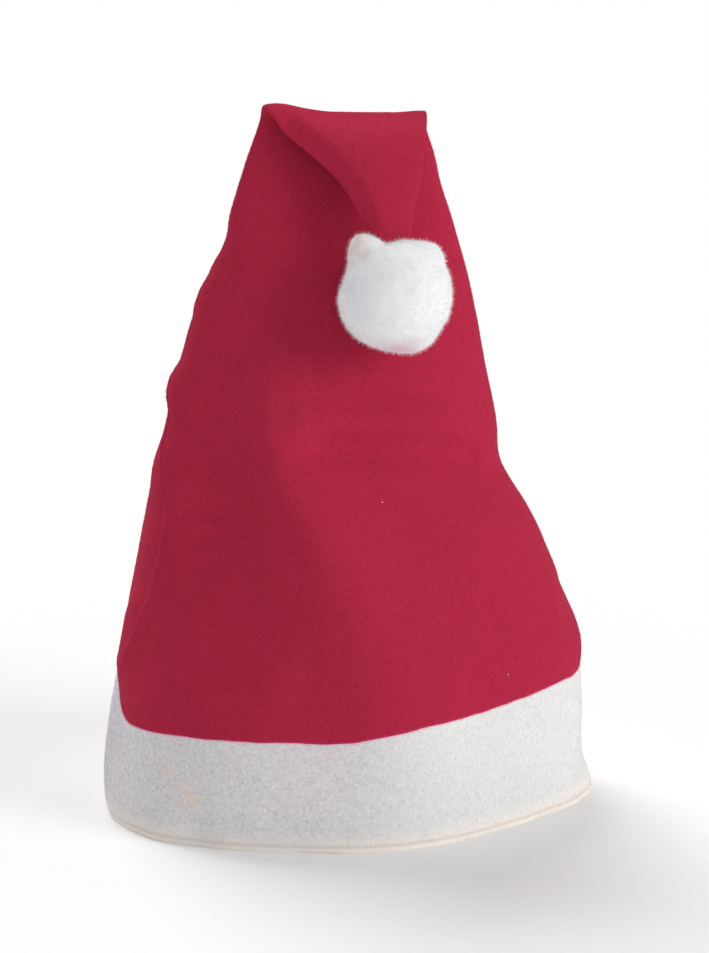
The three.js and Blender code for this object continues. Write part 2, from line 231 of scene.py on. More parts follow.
def addCamera():
    azimuth = math.radians(view["azimuth"])
    elevation = math.radians(view["elevation"])
    back = Vector((
        math.sin(azimuth) * math.cos(elevation),
        -math.cos(azimuth) * math.cos(elevation),
        math.sin(elevation),
    ))
    bpy.ops.object.camera_add(location=Vector(view["target"]) + back * view["distance"])
    camera = bpy.context.object
    camera.name = "camera"
    camera.rotation_euler = (-back).to_track_quat("-Z", "Y").to_euler()
    camera.data.lens = view["lens"]
    camera.data.sensor_width = view["sensor"]
    camera.data.shift_x = view["shiftX"]
    camera.data.shift_y = view["shiftY"]
    camera.data.clip_start, camera.data.clip_end = view["clip"]
    bpy.context.scene.camera = camera


# a light's towards points from the hat to it, and its angle in degrees makes its shadow soft
studio = {
    "floorSize": 30,
    "floorColour": (0.90, 0.90, 0.90, 1),
    "floorRoughness": 0.9,
    "floorShine": 0.1,
    "world": 0.50,
    "lights": [
        {"name": "keyRight", "towards": (0.72, -0.62, 0.34), "strength": 1.43, "angle": 36},
        {"name": "top", "towards": (-0.18, 0.78, 0.92), "strength": 1.92, "angle": 34},
    ],
}


def addStudio():
    bpy.ops.mesh.primitive_plane_add(size=studio["floorSize"])
    floor = bpy.context.object
    floor.name = "floor"
    material = bpy.data.materials.new("paperFloor")
    material.use_nodes = True
    shader = material.node_tree.nodes["Principled BSDF"]
    shader.inputs["Base Color"].default_value = studio["floorColour"]
    shader.inputs["Roughness"].default_value = studio["floorRoughness"]
    shader.inputs["Specular IOR Level"].default_value = studio["floorShine"]
    floor.data.materials.append(material)
    floor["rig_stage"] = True
    world = bpy.data.worlds.new("softboxWorld")
    world.use_nodes = True
    sky = world.node_tree.nodes["Background"]
    sky.inputs["Color"].default_value = (1, 1, 1, 1)
    sky.inputs["Strength"].default_value = studio["world"]
    bpy.context.scene.world = world
    for row in studio["lights"]:
        bpy.ops.object.light_add(type="SUN", location=Vector(row["towards"]))
        light = bpy.context.object
        light.name = row["name"]
        light.rotation_euler = Vector(row["towards"]).to_track_quat("Z", "Y").to_euler()
        light.data.energy = row["strength"]
        light.data.angle = math.radians(row["angle"])
    bpy.context.scene.view_settings.view_transform = "Standard"
    bpy.context.scene.view_settings.look = "None"


addCamera()
addStudio()
say("camera, floor and lights stand")

# finishes: grain, fibre and cloud are scales of noise, and a seam's width is in mm
redFelt = {
    "deep": (0.388, 0.0190, 0.047, 1),
    "base": (0.454, 0.0220, 0.061, 1),
    "bright": (0.515, 0.028, 0.083, 1),
    "grain": 1500,
    "fibre": 420,
    "cloud": 28,
    "sheen": 0.0,
    "shine": 0.06,
    "bump": 0.35,
    # the lighter line along the seams is a painted highlight, where the seam ridges catch the light
    "seam": {"width": 1.1, "share": 0.50, "colour": (0.57, 0.030, 0.140, 1)},
}

whiteFelt = {
    "deep": (0.725, 0.715, 0.722, 1),
    "base": (0.80, 0.803, 0.775, 1),
    "bright": (0.88, 0.885, 0.86, 1),
    "grain": 1300,
    "fibre": 380,
    "cloud": 45,
    "sheen": 0.1,
    "shine": 0.15,
    "bump": 0.35,
    # the speckle of pressed fibres, full at the left and faint at the right; its dark lilac, laid on the
    # band's shaded left, is also painted shade
    "mottle": {"scale": 680, "share": 0.84, "left": -30, "right": 26,
               "colour": (0.565, 0.505, 0.585, 1)},
    # the lower edge: a warm painted highlight, a painted line of shade over it and the pale cut edge, also a
    # painted highlight, in mm
    "rim": [
        {"height": 2.0, "soft": 7.0, "share": 0.75, "colour": (0.92, 0.84, 0.76, 1)},
        {"height": 2.6, "soft": 1.2, "share": 0.42, "colour": (0.60, 0.47, 0.43, 1)},
        {"height": 1.6, "soft": 0.8, "share": 0.70, "colour": (0.93, 0.88, 0.81, 1)},
    ],
    "seam": {"width": 1.0, "share": 0.72, "colour": (0.78, 0.28, 0.43, 1)},
}

whitePlush = {
    "deep": (0.845, 0.855, 0.875, 1),
    "base": (0.88, 0.897, 0.895, 1),
    "bright": (0.93, 0.94, 0.94, 1),
    "grain": 1500,
    "fibre": 600,
    "cloud": 70,
    "sheen": 0.1,
    "shine": 0.15,
    "bump": 0.2,
}


def addNode(tree, kind, inputs=(), **settings):
    node = tree.nodes.new(kind)
    for name, value in settings.items():
        setattr(node, name, value)
    for name, value in dict(inputs).items():
        if isinstance(value, bpy.types.NodeSocket):
            tree.links.new(value, node.inputs[name])
        else:
            node.inputs[name].default_value = value
    return node


def mixColour(tree, share, first, second):
    # the Mix node has a set of sockets for each kind of data, 6 and 7 are its two colours
    node = tree.nodes.new("ShaderNodeMix")
    node.data_type = "RGBA"
    for socket, value in ((node.inputs[0], share), (node.inputs[6], first), (node.inputs[7], second)):
        if isinstance(value, bpy.types.NodeSocket):
            tree.links.new(value, socket)
        else:
            socket.default_value = value
    return node.outputs[2]


def noiseOver(tree, place, scale, detail, roughness=0.5, distortion=0.0):
    return addNode(tree, "ShaderNodeTexNoise", {
        "Vector": place,
        "Scale": scale,
        "Detail": detail,
        "Roughness": roughness,
        "Distortion": distortion,
    }).outputs["Fac"]


def shareBetween(tree, value, start, end, most=1.0, kind="LINEAR"):
    # 0 where the value is at start, growing to most where it is at end
    return addNode(tree, "ShaderNodeMapRange", {
        "Value": value, "From Min": start, "From Max": end, "To Max": most,
    }, interpolation_type=kind).outputs["Result"]


def maths(tree, operation, first, second):
    return addNode(tree, "ShaderNodeMath", {0: first, 1: second}, operation=operation).outputs[0]


def spotShare(tree, place, middle, radius):
    # 1 at a place in mm, falling to 0 at its radius
    far = addNode(tree, "ShaderNodeVectorMath", {0: place, 1: Vector(middle) * mm}, operation="DISTANCE")
    return shareBetween(tree, far.outputs["Value"], radius * mm, 0.0, kind="SMOOTHSTEP")


seamFade = 5.0   # mm from a seam over which the attribute seamNear falls to 0

feltWeave = {
    "turns": [(0.2, 0.7, 0.3), (0.4, -0.9, 1.2), (1.2, 1.5, -0.4)],   # the ways its threads lie, in radians
    "stretch": (1.0, 1.0, 0.22),
    "threadsPerFibre": 4,
    # each noise shows from its first value on, in full from its second, by its third at most
    "grainShows": (0.35, 0.68, 1.0),
    "cloudShows": (0.40, 0.68, 0.5),
    "threadShows": (0.56, 0.74, 0.6),
    "mottleShows": (0.40, 0.70),
    "patchShows": (0.38, 0.62),
    "relief": 0.4,         # mm
    "roughness": 0.95,
    "sheenRoughness": 0.5,
}


def feltMaterial(name, look, spotTints=()):
    material = bpy.data.materials.new(name)
    material.use_nodes = True
    tree = material.node_tree
    shader = tree.nodes["Principled BSDF"]
    place = addNode(tree, "ShaderNodeTexCoord").outputs["Object"]
    across = addNode(tree, "ShaderNodeSeparateXYZ", {0: place})
    grain = noiseOver(tree, place, look["grain"], detail=3.0, roughness=0.6)
    cloud = noiseOver(tree, place, look["cloud"], detail=4.0, roughness=0.55)
    fineness = look["fibre"] * feltWeave["threadsPerFibre"]
    threads = []
    for turn in feltWeave["turns"]:
        turned = addNode(tree, "ShaderNodeMapping", {
            "Vector": place, "Rotation": turn, "Scale": feltWeave["stretch"],
        }).outputs["Vector"]
        threads.append(noiseOver(tree, turned, fineness, detail=2.0, distortion=0.6))
    thread = maths(tree, "MAXIMUM", maths(tree, "MAXIMUM", threads[0], threads[1]), threads[2])
    colour = mixColour(tree, shareBetween(tree, grain, *feltWeave["grainShows"]), look["deep"], look["base"])
    colour = mixColour(tree, shareBetween(tree, cloud, *feltWeave["cloudShows"]), colour, look["deep"])
    colour = mixColour(tree, shareBetween(tree, thread, *feltWeave["threadShows"]), colour, look["bright"])
    # the dark speckle is real felt texture and also painted shade on the band's left, where the light is
    # weaker
    if "mottle" in look:
        mottle = look["mottle"]
        spots = noiseOver(tree, place, mottle["scale"], detail=4.0, roughness=0.75)
        spots = shareBetween(tree, spots, *feltWeave["mottleShows"], mottle["share"])
        where = shareBetween(tree, across.outputs["X"], mottle["right"] * mm, mottle["left"] * mm)
        colour = mixColour(tree, maths(tree, "MULTIPLY", spots, where), colour, mottle["colour"])
    # painted light along the lower edge: a warm highlight, a line of shade and the pale edge
    for line in look.get("rim", ()):
        top = (line["height"] + line["soft"]) * mm
        share = shareBetween(tree, across.outputs["Z"], top, line["height"] * mm, line["share"])
        colour = mixColour(tree, share, colour, line["colour"])
    # a line of colour along the seams; on the red felt it is a painted highlight of the seam ridges
    if "seam" in look:
        seam = look["seam"]
        near = addNode(tree, "ShaderNodeAttribute", attribute_name="seamNear").outputs["Fac"]
        start = 1 - seam["width"] / seamFade
        share = shareBetween(tree, near, start, 1.0, seam["share"], kind="SMOOTHSTEP")
        colour = mixColour(tree, share, colour, seam["colour"])
    # tints and stains, with painted shade and painted reflected light among them
    for spotTint in spotTints:
        share = spotTint["share"]
        if "patch" in spotTint:
            spots = noiseOver(tree, place, spotTint["patch"], detail=3.0)
            share = shareBetween(tree, spots, *feltWeave["patchShows"], spotTint["share"])
        near = spotShare(tree, place, spotTint["middle"], spotTint["radius"])
        colour = mixColour(tree, maths(tree, "MULTIPLY", near, share), colour, spotTint["colour"])
    tree.links.new(colour, shader.inputs["Base Color"])
    bump = addNode(tree, "ShaderNodeBump", {
        "Height": maths(tree, "ADD", grain, thread),
        "Strength": look["bump"],
        "Distance": feltWeave["relief"] * mm,
    }).outputs["Normal"]
    tree.links.new(bump, shader.inputs["Normal"])
    shader.inputs["Roughness"].default_value = feltWeave["roughness"]
    shader.inputs["Specular IOR Level"].default_value = look["shine"]
    shader.inputs["Sheen Weight"].default_value = look["sheen"]
    shader.inputs["Sheen Roughness"].default_value = feltWeave["sheenRoughness"]
    return material


# soft tints, stains and painted shade: places and radii in mm, patch is the scale of the noise that breaks a
# tint up
bandStainsAndShade = [
    {"middle": (-60, -74, 14), "radius": 48, "patch": 70, "share": 0.30, "colour": (0.66, 0.69, 0.76, 1)},
    {"middle": (-38, -84, 32), "radius": 34, "patch": 55, "share": 0.45, "colour": (0.74, 0.66, 0.72, 1)},
    {"middle": (-81, -54, 27), "radius": 9, "patch": 220, "share": 0.85, "colour": (0.85, 0.70, 0.58, 1)},
    {"middle": (-76, -63, 21), "radius": 12, "patch": 220, "share": 0.85, "colour": (0.85, 0.69, 0.58, 1)},
    # painted shade: the band's left and right edges darken where they turn away from the light
    {"middle": (-106, 4, 26), "radius": 48, "share": 0.62, "colour": (0.53, 0.49, 0.56, 1)},
    {"middle": (110, 6, 24), "radius": 50, "share": 0.32, "colour": (0.66, 0.63, 0.57, 1)},
]
pompomTintAndPaintedLight = [
    {"middle": (-9, -58, 237), "radius": 14, "patch": 110, "share": 1.0, "colour": (0.77, 0.57, 0.54, 1)},
    # painted shade: a lilac grey on the pompom's left, away from the light
    {"middle": (-20, -58, 214), "radius": 26, "patch": 40, "share": 0.9, "colour": (0.72, 0.70, 0.84, 1)},
    # painted reflected light and shade: pink under the pompom, where the red felt throws its light onto it
    {"middle": (8, -66, 192), "radius": 12, "share": 0.9, "colour": (0.80, 0.58, 0.70, 1)},
]

# a lighter copy of the red felt for the fibres along the seams: a painted highlight
seamFelt = dict(redFelt, base=(0.60, 0.032, 0.145, 1), bright=(0.74, 0.08, 0.24, 1))

redFeltFinish = feltMaterial("crimsonFelt", redFelt)
seamHighlightFinish = feltMaterial("seamFelt", seamFelt)
whiteFeltFinish = feltMaterial("whiteFelt", whiteFelt, bandStainsAndShade)
plushFinish = feltMaterial("whitePlush", whitePlush, pompomTintAndPaintedLight)
say("finishes are mixed")

# the hat's felt, two crown panels and the brim band, is shaped as one form;
# waves and folds are in mm, and a fold is a path, the pull on it, its core that moves
# as a whole and the reach over which the pull fades out
feltForm = {
    "weld": 0.02,          # mm
    "quadAngle": 70,       # degrees
    "sharpFrom": 55,       # degrees
    "smoothUpTo": 60,      # degrees
    "rimBelow": 1,         # mm over the floor
    "rimCrease": 0.5,
    "levels": 2,
    "seamClosing": 0.2,    # mm that every face moves out, to close the gaps between the pieces
    "waves": [
        {"size": 34, "direction": "X", "strength": 1.3},
        {"size": 30, "direction": "Y", "strength": 1.3},
        {"size": 13, "direction": "X", "strength": 0.35},
        {"size": 12, "direction": "Y", "strength": 0.35},
    ],
    "folds": [
        # the ridge down the front, first soft and then sharp on its crest, and the plane to its left
        {"path": [(-35, -37, 173), (-38, -42, 157), (-37, -48, 142), (-28.7, -57, 129), (-17, -64, 114)],
         "pull": (-0.6, -4.2, 0), "core": 3, "reach": 32},
        {"path": [(-4, -80, 82), (6.5, -88.5, 44)], "pull": (-0.3, -2.2, 0), "core": 3, "reach": 32},
        {"path": [(-38.7, -38.2, 181), (-40.1, -43.5, 163.9), (-40.1, -47.3, 152.6), (-38.9, -51.1, 142.1),
                  (-32.4, -58.4, 132.4), (-20.6, -67, 117.7)],
         "pull": (-1.0, -2.0, 0), "core": 0, "reach": 17, "sharp": True},
        {"path": [(-20.6, -67, 117.7), (-8, -75, 100)],
         "pull": (-0.4, -0.7, 0), "core": 0, "reach": 16, "sharp": True},
        {"path": [(-52, -28, 178), (-53, -33, 155), (-58, -36, 135), (-66, -40, 107), (-60, -58, 80)],
         "pull": (1.8, 2.4, 0), "core": 4, "reach": 26},
        # the waist: a swell, and the groove under it that runs in from the right
        {"path": [(-27, -43, 163), (5, -45, 164), (35, -38, 160)],
         "pull": (0.1, -2.2, 0), "core": 1, "reach": 10},
        {"path": [(-29, -46, 150), (-16, -48, 151), (4, -49, 151), (25, -45.5, 149.5), (43, -37, 146)],
         "pull": (-0.2, 3.0, 0), "core": 0.8, "reach": 9},
        # small creases low on the left and the fold that runs down from them
        {"path": [(-70.6, -25.5, 123.7), (-63.5, -31.4, 126.6), (-58, -37, 125)],
         "pull": (0.9, 1.5, 0), "core": 0.5, "reach": 5},
        {"path": [(-69.2, -30.9, 114.6), (-61.4, -37.2, 116.8)],
         "pull": (0.9, 1.5, 0), "core": 0.5, "reach": 5},
        {"path": [(-68.5, -35.9, 105.5), (-60.6, -41.5, 108.8)],
         "pull": (0.8, 1.4, 0), "core": 0.5, "reach": 5},
        {"path": [(-72.6, -44.8, 84), (-57.6, -61.1, 74), (-42, -73.2, 65)],
         "pull": (-0.5, -0.9, 0), "core": 1, "reach": 11},
        # the outline's steps on the left
        {"path": [(-71.4, -7, 172), (-71.4, 0, 172)], "pull": (-2.1, 0, 0), "core": 2.5, "reach": 9},
        {"path": [(-49.6, -7, 229), (-49.6, 0, 229)], "pull": (1.2, 0, 0), "core": 2.5, "reach": 9},
        {"path": [(-59.2, -6, 208), (-59.2, 0, 208)], "pull": (-1.2, 0, 0), "core": 2.5, "reach": 8},
        {"path": [(-91.4, -10, 76), (-91.8, -6, 68)], "pull": (-2.3, 0, 0), "core": 4, "reach": 15},
        {"path": [(-79, -14, 146), (-78, -8, 140)], "pull": (-1.0, 0, 0), "core": 4, "reach": 13},
        # the slack under the right-hand bulge
        {"path": [(90, -26, 76), (90, -14, 76)], "pull": (-3.2, 0, 0), "core": 3, "reach": 16},
        # the fold's top: its left corner stands up and its middle dips
        {"path": [(-32, -6, 283), (-30, -2, 283)], "pull": (-0.4, 0, 1.0), "core": 2, "reach": 10},
        {"path": [(-4, -5, 281), (14, -5, 281)], "pull": (0, 0, -1.9), "core": 3, "reach": 20},
        # the flap's left edge hangs over
        {"path": [(-26, -15, 275.5), (-22.3, -19, 271.7), (-11.5, -29, 262.3), (-4.4, -37, 252.6),
                  (-0.8, -42.5, 242.9)],
         "pull": (-0.5, 3.2, -1.2), "core": 1.0, "reach": 6},
        # the back, which the photo doesn't show: the same waist, and below it a slack fold and a hollow
        {"path": [(-46, 32, 158), (-25, 42, 153), (0, 45, 149), (25, 42, 147), (44, 34, 149)],
         "pull": (0, -2.0, 0), "core": 1, "reach": 11},
        {"path": [(-30, 38, 170), (0, 38.5, 168), (28, 35, 165)],
         "pull": (0, 1.6, 0), "core": 1, "reach": 12},
        {"path": [(12, 50, 136), (2, 57.5, 118), (-12, 64.5, 98), (-24, 73, 74)],
         "pull": (0.5, 3.0, 0), "core": 2, "reach": 24},
        {"path": [(30, 53, 125), (34, 64, 95), (38, 72, 66)],
         "pull": (-0.6, -1.8, 0), "core": 3, "reach": 22},
        # the band: fuller at its front left corner, a waist and a flare on its right
        {"path": [(-97, -28, 3), (-88, -48, 3)], "pull": (-2.6, -3.4, 0), "core": 4, "reach": 24},
        {"path": [(94, -29, 16), (95, -20, 17)], "pull": (-1.7, 0.5, 0), "core": 3, "reach": 14},
        {"path": [(96.5, -26, 2), (98, -14, 2)], "pull": (1.2, 0, 0), "core": 3, "reach": 9},
    ],
}

# where crown and band meet: height in mm by the angle round the hat's axis, 180 is the left and
# 270 the front; the red corner hangs low just in front of the left side seam
bandSeam = {
    "axis": (-0.5, -1.5),
    "reach": 22,
    "endSpread": 20,       # degrees over which the move fades out beyond the first and last row
    "cadTopFrom": 30,      # mm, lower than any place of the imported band's top edge
    "waver": {"size": 8, "out": 0.3},
    "heights": [
        {"around": 145, "height": 49.0},
        {"around": 158, "height": 51.0},
        {"around": 170, "height": 54.6},
        {"around": 178.5, "height": 55.8},
        {"around": 181.5, "height": 49.0},
        {"around": 184.5, "height": 44.4},
        {"around": 188, "height": 41.4},
        {"around": 192.5, "height": 39.5},
        {"around": 198.7, "height": 39.6},
        {"around": 206, "height": 40.6},
        {"around": 217, "height": 42.3},
        {"around": 226, "height": 43.0},
        {"around": 242, "height": 43.4},
        {"around": 257, "height": 43.8},
        {"around": 269, "height": 46.6},
        {"around": 276, "height": 48.2},
        {"around": 283, "height": 49.2},
        {"around": 291, "height": 49.2},
        {"around": 299, "height": 49.6},
        {"around": 308, "height": 50.9},
        {"around": 318, "height": 51.7},
        {"around": 330, "height": 52.4},
        {"around": 345, "height": 52.2},
    ],
}

# how many degrees the left side seam is turned towards the front, by its height in mm;
# the turn fades out over spread degrees to both sides of around
sideSeam = {
    "around": 189,
    "spread": 38,
    "below": 175,         # mm, no seam is moved above it
    "depthShare": 0.85,   # of the crown's half depth to its half width
    "turns": [
        {"height": 12, "turn": 0},
        {"height": 38, "turn": -9},
        {"height": 52, "turn": -10.5},
        {"height": 62, "turn": -6},
        {"height": 75, "turn": 0},
        {"height": 95, "turn": 3.5},
        {"height": 115, "turn": 7},
        {"height": 130, "turn": 8},
        {"height": 150, "turn": 4},
        {"height": 172, "turn": 0},
    ],
}


def waveTexture(name, size):
    texture = bpy.data.textures.new(name, "CLOUDS")
    texture.noise_scale = size * mm
    texture.noise_depth = 2
    return texture


def roundAxis(spot):
    # angle round the hat's axis in degrees, and distance from it
    x = spot.x - bandSeam["axis"][0] * mm
    y = spot.y - bandSeam["axis"][1] * mm
    return math.degrees(math.atan2(y, x)) % 360, math.hypot(x, y)


def putRound(spot, around, radius):
    spot.x = bandSeam["axis"][0] * mm + radius * math.cos(math.radians(around))
    spot.y = bandSeam["axis"][1] * mm + radius * math.sin(math.radians(around))


def cadBandTop():
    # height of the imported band's top edge, by the angle round the axis
    node = frame["nodes"]["brim_band"]
    tops = {}
    for vertex in node.data.vertices:
        spot = node.matrix_world @ vertex.co
        around = round(roundAxis(spot)[0])
        tops[around] = max(tops.get(around, 0), spot.z / mm)
    arounds = [around for around in sorted(tops) if tops[around] > bandSeam["cadTopFrom"]]
    rows = [{"around": around, "height": tops[around]} for around in arounds]
    first = dict(rows[0], around=rows[0]["around"] + 360)
    last = dict(rows[-1], around=rows[-1]["around"] - 360)
    return [last] + rows + [first]


def ovalRadius(around, depthShare):
    turn = math.radians(around)
    return 1 / math.hypot(math.cos(turn), math.sin(turn) / depthShare)


def moveSeams(piece):
    cadTop = cadBandTop()
    low = bandSeam["heights"][0]["around"]
    high = bandSeam["heights"][-1]["around"]
    waver = bandSeam["waver"]
    share = sideSeam["depthShare"]
    for vertex in piece.data.vertices:
        around, radius = roundAxis(vertex.co)
        height = vertex.co.z / mm
        if height > sideSeam["below"]:
            continue
        before = valueAt(cadTop, "around", around, "height")
        side = fall(abs(around - sideSeam["around"]), sideSeam["spread"])
        turn = valueAt(sideSeam["turns"], "height", height, "turn") * side
        radius *= ovalRadius(around + turn, share) / ovalRadius(around, share)
        around += turn
        putRound(vertex.co, around, radius)
        target = valueAt(bandSeam["heights"], "around", around, "height")
        beyond = max(low - around, around - high, 0)
        wave = noise.noise(vertex.co / (waver["size"] * mm)) * waver["out"]
        lift = (target - before) * fall(beyond, bandSeam["endSpread"]) + wave
        vertex.co.z += lift * fall(abs(height - before), bandSeam["reach"]) * mm


hatFelt = copyNodes(["crown_front", "crown_back", "brim_band"], "hatFelt", feltForm)
creaseSharpEdges(hatFelt, feltForm)
applyModifier(hatFelt, "SUBSURF", {"levels": feltForm["levels"], "render_levels": feltForm["levels"]})
moveSeams(hatFelt)
for number, wave in enumerate(feltForm["waves"]):
    applyModifier(hatFelt, "DISPLACE", {
        "texture": waveTexture(f"feltWave{number}", wave["size"]),
        "texture_coords": "LOCAL",
        "direction": wave["direction"],
        "mid_level": 0.5,
        "strength": wave["strength"] * mm,
    })
for fold in feltForm["folds"]:
    pullFelt(hatFelt, fold["path"], fold["pull"], fold["core"], fold["reach"], fold.get("sharp", False))
say(f"felt form has {len(hatFelt.data.polygons)} faces")

selectOnly(hatFelt)
bpy.ops.object.mode_set(mode="EDIT")
bpy.ops.mesh.select_all(action="SELECT")
bpy.ops.transform.shrink_fatten(value=feltForm["seamClosing"] * mm)
bpy.ops.mesh.separate(type="LOOSE")
bpy.ops.object.mode_set(mode="OBJECT")

# what tells the loose parts from each other, in mm; corner 0 of a box is its lowest, 6 its highest
pieceSigns = {"bandBelow": 80, "frontMiddle": -15}
feltPieces = {}
for part in list(bpy.context.selected_objects):
    low = Vector(part.bound_box[0]) / mm
    high = Vector(part.bound_box[6]) / mm
    if high.z < pieceSigns["bandBelow"]:
        key = "brim_band"
    elif (low.y + high.y) / 2 < pieceSigns["frontMiddle"]:
        key = "crown_front"
    else:
        key = "crown_back"
    feltPieces[key] = part


# the flap's left edge, in mm, where the seam is out of sight
rolledUnder = {
    "path": [(-33, -5, 281), (-22, -17, 271), (-11, -28, 261), (-4, -38, 251), (-1, -43, 241), (0, -47, 230)],
    "reach": 10,
}


def seamShows(spot):
    # 0 along the flap's left edge, growing to 1 away from it
    path = [Vector(place) * mm for place in rolledUnder["path"]]
    return 1 - fall((nearestOnPath(spot, path) - spot).length / mm, rolledUnder["reach"])


def markSeams(piece, others):
    # seamNear is 1 where the piece meets another one, falling to 0 over seamFade
    marks = piece.data.attributes.new("seamNear", "FLOAT", "POINT")
    values = []
    for vertex in piece.data.vertices:
        away = seamFade
        for other in others:
            found, spot = other.closest_point_on_mesh(vertex.co, distance=seamFade * mm)[:2]
            if found:
                away = min(away, (spot - vertex.co).length / mm)
        values.append((1 - away / seamFade) * seamShows(vertex.co))
    marks.data.foreach_set("value", values)


for key, part in feltPieces.items():
    part.name = key + "_felt"
    part.data.name = part.name
bpy.context.view_layer.update()
for key, part in feltPieces.items():
    markSeams(part, [other for other in feltPieces.values() if other != part])
for key, part in feltPieces.items():
    selectOnly(part)
    bpy.ops.object.shade_smooth_by_angle(angle=math.radians(feltForm["smoothUpTo"]))
    if key == "brim_band":
        finishPiece(part, "white_felt", whiteFeltFinish, [key])
    else:
        finishPiece(part, "red_felt", redFeltFinish, [key])
say("crown panels and brim band are cut apart")

pompomForm = {
    "shift": (-0.3, 0, 0.5),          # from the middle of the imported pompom
    "radius": 21.9,
    "subdivisions": 6,
    "sideways": (0.978, -0.208, 0),   # to the right as seen from the front
    # turn: degrees from the right, counted up; reach: degrees; out: mm
    "bumps": [
        {"turn": 124, "reach": 27, "out": 6.0},     # the ear at its top left
        {"turn": 97, "reach": 25, "out": -2.0},     # the flat top
        {"turn": 50, "reach": 27, "out": 3.2},      # its right shoulder
        {"turn": 162, "reach": 22, "out": -1.9},
        {"turn": -66, "reach": 34, "out": 2.0},
        {"turn": -145, "reach": 40, "out": 0.9},
    ],
    "lumps": [
        {"size": 10, "strength": 1.0},
        {"size": 3.5, "strength": 0.45},
    ],
}

pompomLow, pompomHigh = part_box("pompom")
pompomMiddle = (pompomLow + pompomHigh) / 2 + Vector(pompomForm["shift"]) * mm
bpy.ops.object.select_all(action="DESELECT")
bpy.ops.mesh.primitive_ico_sphere_add(
    subdivisions=pompomForm["subdivisions"],
    radius=pompomForm["radius"] * mm,
    location=pompomMiddle,
)
pompomBall = bpy.context.object
pompomBall.name = "pompom_ball"
pompomBall.data.name = "pompom_ball"
bpy.ops.object.transform_apply(location=True, rotation=True, scale=True)
for vertex in pompomBall.data.vertices:
    way = (vertex.co - pompomMiddle).normalized()
    for bump in pompomForm["bumps"]:
        turn = math.radians(bump["turn"])
        towards = Vector(pompomForm["sideways"]) * math.cos(turn) + Vector((0, 0, math.sin(turn)))
        away = math.degrees(way.angle(towards))
        vertex.co += way * bump["out"] * fall(away, bump["reach"]) * mm
for number, lump in enumerate(pompomForm["lumps"]):
    applyModifier(pompomBall, "DISPLACE", {
        "texture": waveTexture(f"plushLump{number}", lump["size"]),
        "texture_coords": "LOCAL",
        "direction": "NORMAL",
        "mid_level": 0.5,
        "strength": lump["strength"] * mm,
    })
selectOnly(pompomBall)
bpy.ops.object.shade_smooth()
finishPiece(pompomBall, "white_plush", plushFinish, ["pompom"])
say("pompom is stuffed")

# fibres: lengths and width in mm, leans in degrees from straight out;
# a tuft is tilted by tilt degrees at most and scaled between the two tuftSizes
tuftSizes = (0.65, 1.15)
pompomPile = {
    "lengths": (0.8, 1.0, 0.7),
    "leans": (35, 60, 72),
    "width": 0.06,
    "perSquareMm": 1.9,
    "tilt": 16,
    "seed": 3,
}
pompomWisps = {
    "lengths": (1.9, 1.4, 1.6),
    "leans": (6, 24, 15),
    "width": 0.055,
    "perSquareMm": 0.8,
    "tilt": 14,
    "seed": 5,
}
crownFibres = {
    "lengths": (0.9, 1.2, 1.5),
    "leans": (62, 76, 84),
    "width": 0.07,
    "perSquareMm": 0.125,
    "tilt": 8,
    "seed": 11,
}
seamFibres = {
    "lengths": (0.7, 0.9, 1.2),
    "leans": (40, 60, 75),
    "width": 0.07,
    "perSquareMm": 2.4,
    "tilt": 10,
    "seed": 31,
    "within": 0.9,   # mm from the piece across the seam
}
bandFibres = {
    "lengths": (0.9, 1.2, 1.6),
    "leans": (50, 68, 80),
    "width": 0.08,
    "perSquareMm": 0.40,
    "tilt": 10,
    "seed": 23,
}


def fibreTuft(name, look):
    # a few closed three-sided hairs that share one root
    hairs = []
    for number, (length, lean) in enumerate(zip(look["lengths"], look["leans"])):
        bpy.ops.object.select_all(action="DESELECT")
        bpy.ops.mesh.primitive_cone_add(
            vertices=3,
            radius1=look["width"] / 2 * mm,
            radius2=0,
            depth=length * mm,
            location=(0, 0, 0),
        )
        hair = bpy.context.object
        bpy.ops.object.mode_set(mode="EDIT")
        bpy.ops.mesh.select_all(action="SELECT")
        bpy.ops.transform.translate(value=(0, 0, length / 2 * mm))
        bpy.ops.object.mode_set(mode="OBJECT")
        spin = number * 360 / len(look["lengths"])
        hair.rotation_euler = Euler((0, math.radians(lean), math.radians(spin)))
        bpy.ops.object.transform_apply(location=True, rotation=True, scale=True)
        hairs.append(hair)
    selectOnly(*hairs)
    bpy.ops.object.join()
    tuft = bpy.context.object
    tuft.name = name
    return tuft


